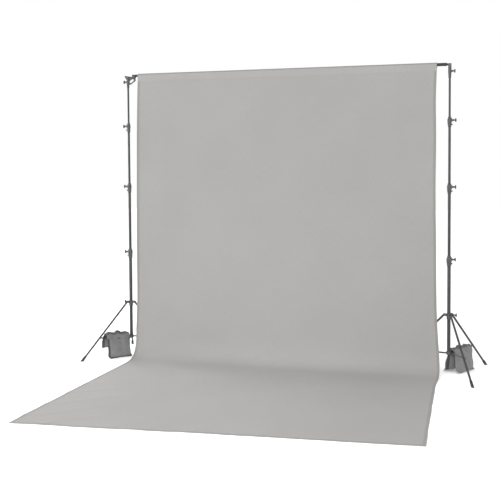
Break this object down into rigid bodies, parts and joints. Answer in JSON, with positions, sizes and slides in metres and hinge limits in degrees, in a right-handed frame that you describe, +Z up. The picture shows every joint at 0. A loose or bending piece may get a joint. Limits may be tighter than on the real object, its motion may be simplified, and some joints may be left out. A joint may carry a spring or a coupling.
{
  "type": "background support system",
  "caption": "Telescopic crossbar on two folding tripod stands, holding a fabric backdrop that sweeps onto the floor, with saddle sandbags on the stands.",
  "frame": {"origin": "on the floor, under the centre of the box around the whole set", "axes": "+X along the crossbar, from the stand with the arm bracket to the stand with the saddle bracket; -Y is the side that the backdrop faces; +Z up"},
  "size_m": [3.9404, 3.1458, 2.9125],
  "materials": {
    "mast_tube": "satin",
    "casting": "satin",
    "bar_tube": "satin",
    "bar_plastic": "matte",
    "knob_plastic": "matte",
    "foot_rubber": "matte",
    "muslin": "matte",
    "sandbag_canvas": "matte"
  },
  "bodies": {
    "left_base": {"left_base_tube": "mast_tube", "left_collar_1": "casting", "left_brace_hub": "casting", "left_sandbag": "sandbag_canvas", "backdrop": "muslin"},
    "left_tripod": {"left_tripod_collar": "casting"},
    "left_leg_1": {"left_leg_1": "mast_tube", "left_foot_1": "foot_rubber"},
    "left_brace_1": {"left_brace_1": "mast_tube"},
    "left_leg_2": {"left_leg_2": "mast_tube", "left_foot_2": "foot_rubber"},
    "left_brace_2": {"left_brace_2": "mast_tube"},
    "left_leg_3": {"left_leg_3": "mast_tube", "left_foot_3": "foot_rubber"},
    "left_brace_3": {"left_brace_3": "mast_tube"},
    "left_tripod_knob": {"left_tripod_knob": "knob_plastic"},
    "left_riser_2": {"left_riser_2": "mast_tube", "left_collar_2": "casting"},
    "left_riser_3": {"left_riser_3": "mast_tube", "left_collar_3": "casting"},
    "left_riser_4": {"left_riser_4": "mast_tube", "left_bracket": "casting", "crossbar_inner": "bar_tube"},
    "left_knob_1": {"left_knob_1": "knob_plastic"},
    "left_knob_2": {"left_knob_2": "knob_plastic"},
    "left_knob_3": {"left_knob_3": "knob_plastic"},
    "left_bracket_knob": {"left_bracket_knob": "knob_plastic"},
    "right_base": {"right_base_tube": "mast_tube", "right_collar_1": "casting", "right_brace_hub": "casting", "right_sandbag": "sandbag_canvas"},
    "right_tripod": {"right_tripod_collar": "casting"},
    "right_leg_1": {"right_leg_1": "mast_tube", "right_foot_1": "foot_rubber"},
    "right_brace_1": {"right_brace_1": "mast_tube"},
    "right_leg_2": {"right_leg_2": "mast_tube", "right_foot_2": "foot_rubber"},
    "right_brace_2": {"right_brace_2": "mast_tube"},
    "right_leg_3": {"right_leg_3": "mast_tube", "right_foot_3": "foot_rubber"},
    "right_brace_3": {"right_brace_3": "mast_tube"},
    "right_tripod_knob": {"right_tripod_knob": "knob_plastic"},
    "right_riser_2": {"right_riser_2": "mast_tube", "right_collar_2": "casting"},
    "right_riser_3": {"right_riser_3": "mast_tube", "right_collar_3": "casting"},
    "right_riser_4": {"right_riser_4": "mast_tube", "right_bracket": "casting"},
    "right_knob_1": {"right_knob_1": "knob_plastic"},
    "right_knob_2": {"right_knob_2": "knob_plastic"},
    "right_knob_3": {"right_knob_3": "knob_plastic"},
    "right_bracket_knob": {"right_bracket_knob": "knob_plastic"},
    "crossbar_outer": {"crossbar_outer": "bar_tube", "crossbar_end_plug": "bar_plastic"},
    "crossbar_lock": {"crossbar_lock": "bar_plastic"}
  },
  "joints": [
    {"name": "left_tripod_slide", "type": "slide", "parent": "left_base", "child": "left_tripod", "axis": [0, 0, 1], "range_m": [0, 0.44], "deforming": ["left_sandbag"]},
    {"name": "left_leg_1_hinge", "type": "hinge", "parent": "left_tripod", "child": "left_leg_1", "pos_m": [-1.64301, 0.99484, 0.556], "axis": [0.8059, -0.592, 0], "range_deg": [0, 38.45]},
    {"name": "left_brace_1_hinge", "type": "hinge", "parent": "left_base", "child": "left_brace_1", "pos_m": [-1.63531, 1.00532, 0.195], "axis": [-0.8059, 0.592, 0], "range_deg": [0, 77.22]},
    {"name": "left_leg_2_hinge", "type": "hinge", "parent": "left_tripod", "child": "left_leg_2", "pos_m": [-1.57164, 1.02617, 0.556], "axis": [0.1097, 0.994, 0], "range_deg": [0, 38.45]},
    {"name": "left_brace_2_hinge", "type": "hinge", "parent": "left_base", "child": "left_brace_2", "pos_m": [-1.58456, 1.0276, 0.195], "axis": [-0.1097, -0.994, 0], "range_deg": [0, 77.22]},
    {"name": "left_leg_3_hinge", "type": "hinge", "parent": "left_tripod", "child": "left_leg_3", "pos_m": [-1.63445, 1.07231, 0.556], "axis": [-0.9157, -0.4019, 0], "range_deg": [0, 38.45]},
    {"name": "left_brace_3_hinge", "type": "hinge", "parent": "left_base", "child": "left_brace_3", "pos_m": [-1.62923, 1.06041, 0.195], "axis": [0.9157, 0.4019, 0], "range_deg": [0, 77.22]},
    {"name": "left_tripod_knob_turn", "type": "hinge", "parent": "left_tripod", "child": "left_tripod_knob", "pos_m": [-1.68396, 1.03857, 0.554], "axis": [-0.994, 0.1097, 0], "continuous": true},
    {"name": "mast_height", "type": "slide", "parent": "left_base", "child": "left_riser_2", "axis": [0, 0, -1], "range_m": [0, 0.58], "deforming": ["backdrop"]},
    {"name": "left_riser_3_slide", "type": "slide", "parent": "left_riser_2", "child": "left_riser_3", "axis": [0, 0, -1], "range_m": [0, 0.522]},
    {"name": "left_riser_4_slide", "type": "slide", "parent": "left_riser_3", "child": "left_riser_4", "axis": [0, 0, -1], "range_m": [0, 0.357]},
    {"name": "left_knob_1_turn", "type": "hinge", "parent": "left_base", "child": "left_knob_1", "pos_m": [-1.67302, 1.03736, 1.077], "axis": [-0.994, 0.1097, 0], "continuous": true},
    {"name": "left_knob_2_turn", "type": "hinge", "parent": "left_riser_2", "child": "left_knob_2", "pos_m": [-1.67302, 1.03736, 1.756], "axis": [-0.994, 0.1097, 0], "continuous": true},
    {"name": "left_knob_3_turn", "type": "hinge", "parent": "left_riser_3", "child": "left_knob_3", "pos_m": [-1.67302, 1.03736, 2.377], "axis": [-0.994, 0.1097, 0], "continuous": true},
    {"name": "left_bracket_knob_turn", "type": "hinge", "parent": "left_riser_4", "child": "left_bracket_knob", "pos_m": [-1.66209, 1.03615, 2.831], "axis": [-0.994, 0.1097, 0], "continuous": true},
    {"name": "stand_spacing", "type": "slide", "parent": "left_base", "child": "right_base", "axis": [1, 0, 0], "range_m": [-0.05, 0.45]},
    {"name": "right_tripod_slide", "type": "slide", "parent": "right_base", "child": "right_tripod", "axis": [0, 0, 1], "range_m": [0, 0.44], "deforming": ["right_sandbag"]},
    {"name": "right_leg_1_hinge", "type": "hinge", "parent": "right_tripod", "child": "right_leg_1", "pos_m": [1.66814, 1.06885, 0.556], "axis": [-0.8387, 0.5446, 0], "range_deg": [0, 38.45]},
    {"name": "right_brace_1_hinge", "type": "hinge", "parent": "right_base", "child": "right_brace_1", "pos_m": [1.66106, 1.05794, 0.195], "axis": [0.8387, -0.5446, 0], "range_deg": [0, 77.22]},
    {"name": "right_leg_2_hinge", "type": "hinge", "parent": "right_tripod", "child": "right_leg_2", "pos_m": [1.66406, 0.99101, 0.556], "axis": [0.891, 0.454, 0], "range_deg": [0, 38.45]},
    {"name": "right_brace_2_hinge", "type": "hinge", "parent": "right_base", "child": "right_brace_2", "pos_m": [1.65816, 1.00259, 0.195], "axis": [-0.891, -0.454, 0], "range_deg": [0, 77.22]},
    {"name": "right_leg_3_hinge", "type": "hinge", "parent": "right_tripod", "child": "right_leg_3", "pos_m": [1.59869, 1.03346, 0.556], "axis": [-0.0523, -0.9986, 0], "range_deg": [0, 38.45]},
    {"name": "right_brace_3_hinge", "type": "hinge", "parent": "right_base", "child": "right_brace_3", "pos_m": [1.61168, 1.03278, 0.195], "axis": [0.0523, 0.9986, 0], "range_deg": [0, 77.22]},
    {"name": "right_tripod_knob_turn", "type": "hinge", "parent": "right_tripod", "child": "right_tripod_knob", "pos_m": [1.71154, 1.02755, 0.554], "axis": [0.9986, -0.0523, 0], "continuous": true},
    {"name": "right_riser_2_slide", "type": "slide", "parent": "right_base", "child": "right_riser_2", "axis": [0, 0, -1], "range_m": [0, 0.58]},
    {"name": "right_riser_3_slide", "type": "slide", "parent": "right_riser_2", "child": "right_riser_3", "axis": [0, 0, -1], "range_m": [0, 0.522]},
    {"name": "right_riser_4_slide", "type": "slide", "parent": "right_riser_3", "child": "right_riser_4", "axis": [0, 0, -1], "range_m": [0, 0.357]},
    {"name": "right_knob_1_turn", "type": "hinge", "parent": "right_base", "child": "right_knob_1", "pos_m": [1.70056, 1.02812, 1.077], "axis": [0.9986, -0.0523, 0], "continuous": true},
    {"name": "right_knob_2_turn", "type": "hinge", "parent": "right_riser_2", "child": "right_knob_2", "pos_m": [1.70056, 1.02812, 1.756], "axis": [0.9986, -0.0523, 0], "continuous": true},
    {"name": "right_knob_3_turn", "type": "hinge", "parent": "right_riser_3", "child": "right_knob_3", "pos_m": [1.70056, 1.02812, 2.377], "axis": [0.9986, -0.0523, 0], "continuous": true},
    {"name": "right_bracket_knob_turn", "type": "hinge", "parent": "right_riser_4", "child": "right_bracket_knob", "pos_m": [1.68957, 1.0287, 2.831], "axis": [0.9986, -0.0523, 0], "continuous": true},
    {"name": "crossbar_slide", "type": "slide", "parent": "left_riser_4", "child": "crossbar_outer", "axis": [1, 0, 0], "range_m": [-0.05, 0.45]},
    {"name": "crossbar_lock_turn", "type": "hinge", "parent": "crossbar_outer", "child": "crossbar_lock", "pos_m": [-0.23637, 1.03111, 2.893], "axis": [1, 0, 0], "continuous": true}
  ],
  "couplings": [
    {"joint": "left_leg_1_hinge", "follows": "left_tripod_slide", "rad_per_m": 1.5243},
    {"joint": "left_brace_1_hinge", "follows": "left_tripod_slide", "rad_per_m": 3.0621},
    {"joint": "left_leg_2_hinge", "follows": "left_tripod_slide", "rad_per_m": 1.5243},
    {"joint": "left_brace_2_hinge", "follows": "left_tripod_slide", "rad_per_m": 3.0621},
    {"joint": "left_leg_3_hinge", "follows": "left_tripod_slide", "rad_per_m": 1.5243},
    {"joint": "left_brace_3_hinge", "follows": "left_tripod_slide", "rad_per_m": 3.0621},
    {"joint": "left_riser_3_slide", "follows": "mast_height", "ratio": 0.9},
    {"joint": "left_riser_4_slide", "follows": "mast_height", "ratio": 0.61552},
    {"joint": "right_leg_1_hinge", "follows": "right_tripod_slide", "rad_per_m": 1.5243},
    {"joint": "right_brace_1_hinge", "follows": "right_tripod_slide", "rad_per_m": 3.0621},
    {"joint": "right_leg_2_hinge", "follows": "right_tripod_slide", "rad_per_m": 1.5243},
    {"joint": "right_brace_2_hinge", "follows": "right_tripod_slide", "rad_per_m": 3.0621},
    {"joint": "right_leg_3_hinge", "follows": "right_tripod_slide", "rad_per_m": 1.5243},
    {"joint": "right_brace_3_hinge", "follows": "right_tripod_slide", "rad_per_m": 3.0621},
    {"joint": "right_riser_2_slide", "follows": "mast_height", "ratio": 1},
    {"joint": "right_riser_3_slide", "follows": "mast_height", "ratio": 0.9},
    {"joint": "right_riser_4_slide", "follows": "mast_height", "ratio": 0.61552},
    {"joint": "crossbar_slide", "follows": "stand_spacing", "ratio": 1}
  ]
}
